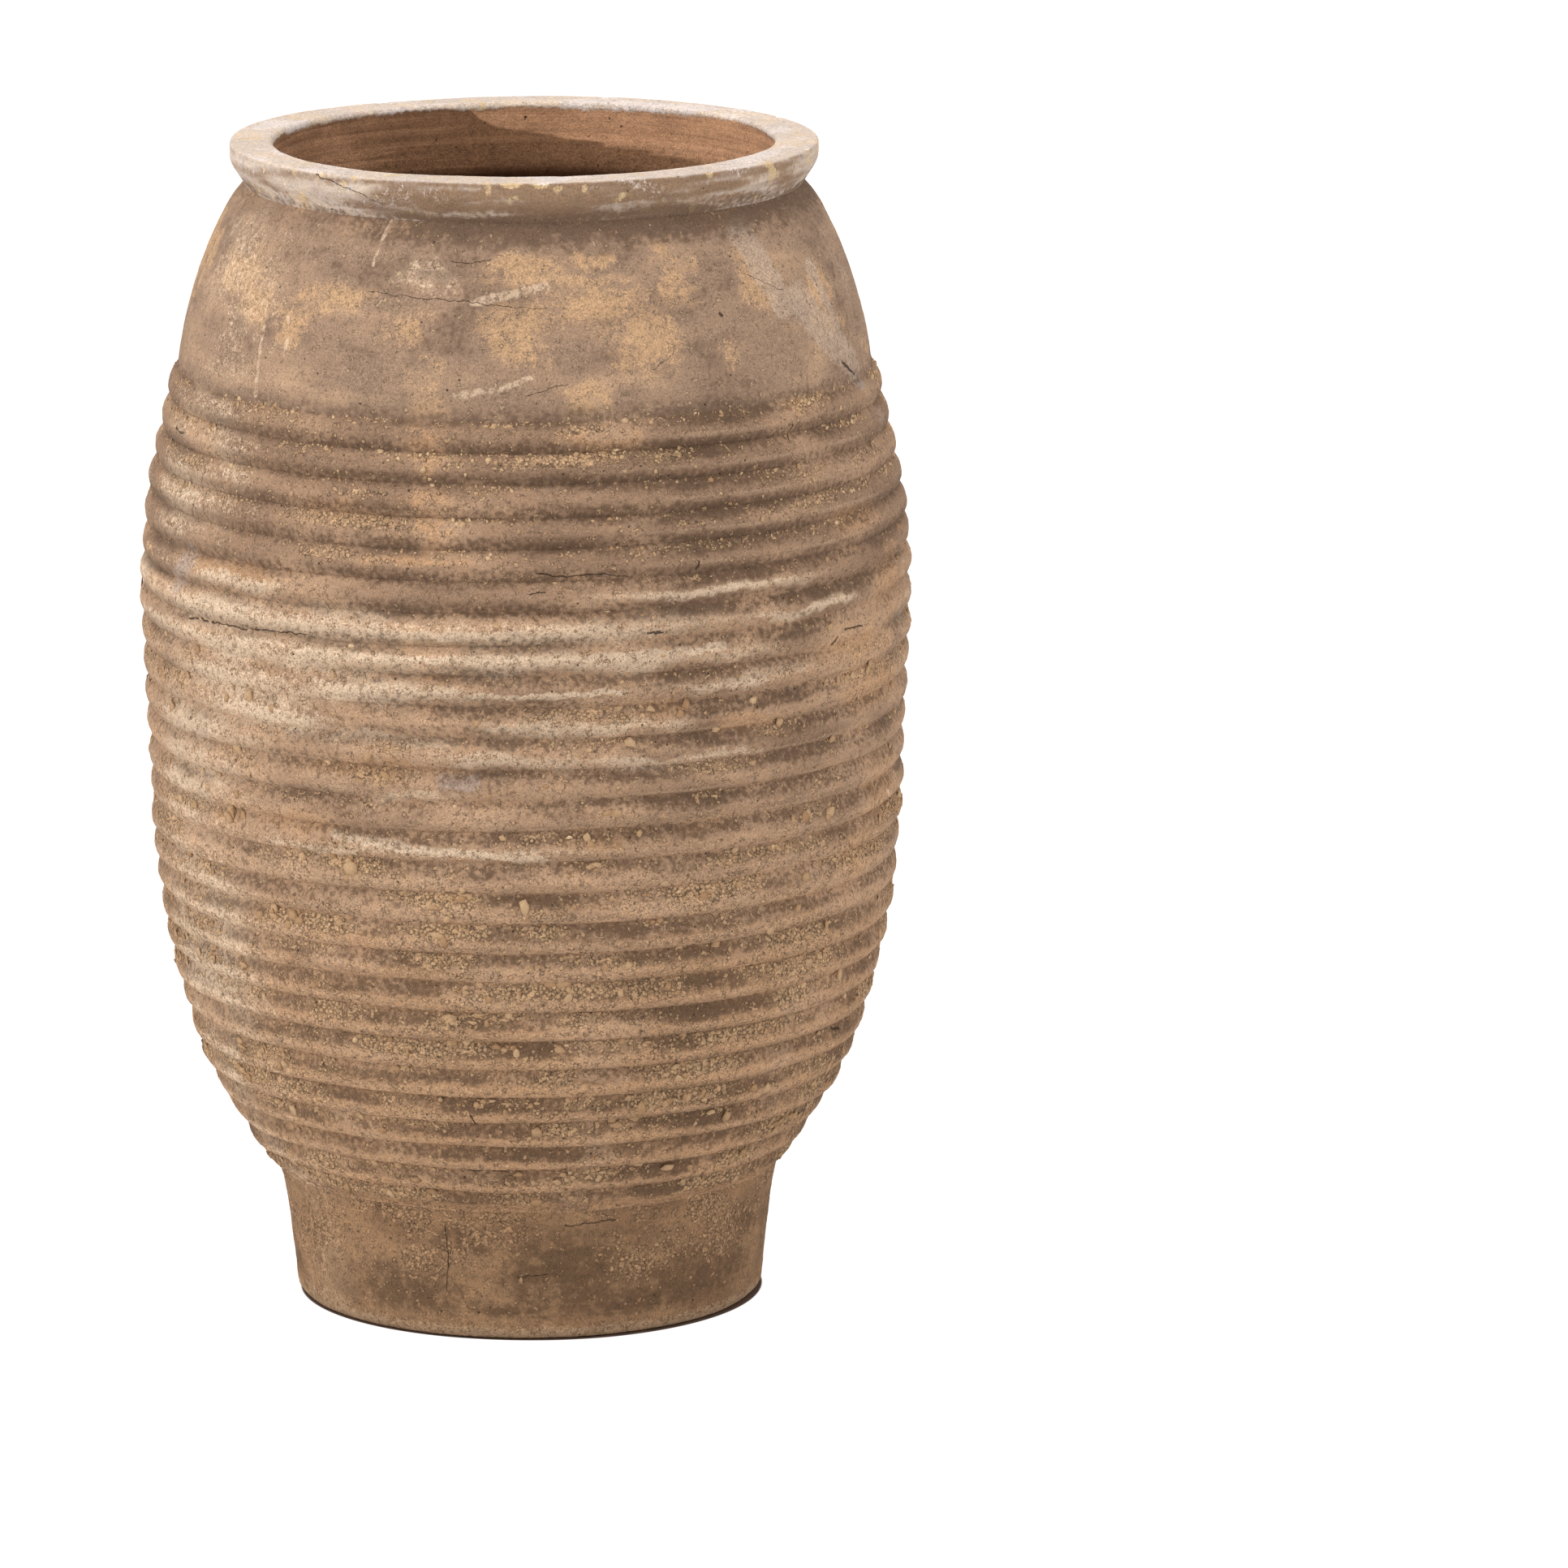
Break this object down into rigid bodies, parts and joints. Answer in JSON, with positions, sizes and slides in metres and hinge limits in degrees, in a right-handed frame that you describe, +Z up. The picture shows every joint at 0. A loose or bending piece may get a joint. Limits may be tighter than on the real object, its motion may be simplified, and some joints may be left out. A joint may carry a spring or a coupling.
{
  "type": "terracotta storage jar",
  "caption": "Large open terracotta pithos: narrow smooth foot, swelling body of stacked clay coils left as ridges, smooth shoulder and a flat overhanging rim.",
  "frame": {"origin": "centre of the underside, on the ground", "axes": "+Z up along the jar's axis, from the foot to the mouth; -Y faces the viewer"},
  "size_m": [0.7224, 0.7224, 1.1],
  "materials": {
    "foot_clay": "matt unglazed terracotta, darkened olive brown with soil stains",
    "coil_clay": "matt unglazed terracotta, grey brown to tan, gritty, with pale lime crust",
    "shoulder_clay": "matt unglazed terracotta, ochre with grey brown weather stains",
    "rim_clay": "matt unglazed terracotta, pale beige pink, wiped smooth"
  },
  "bodies": {
    "root": {"base_disc": "foot_clay", "inner_corner_coil": "foot_clay", "foot_wall": "foot_clay", "coil_01": "coil_clay", "coil_02": "coil_clay", "coil_03": "coil_clay", "coil_04": "coil_clay", "coil_05": "coil_clay", "coil_06": "coil_clay", "coil_07": "coil_clay", "coil_08": "coil_clay", "coil_09": "coil_clay", "coil_10": "coil_clay", "coil_11": "coil_clay", "coil_12": "coil_clay", "coil_13": "coil_clay", "coil_14": "coil_clay", "coil_15": "coil_clay", "coil_16": "coil_clay", "coil_17": "coil_clay", "coil_18": "coil_clay", "coil_19": "coil_clay", "coil_20": "coil_clay", "coil_21": "coil_clay", "coil_22": "coil_clay", "coil_23": "coil_clay", "coil_24": "coil_clay", "coil_25": "coil_clay", "coil_26": "coil_clay", "coil_27": "coil_clay", "shoulder_wall": "shoulder_clay", "rim_ring": "rim_clay"}
  },
  "joints": []
}
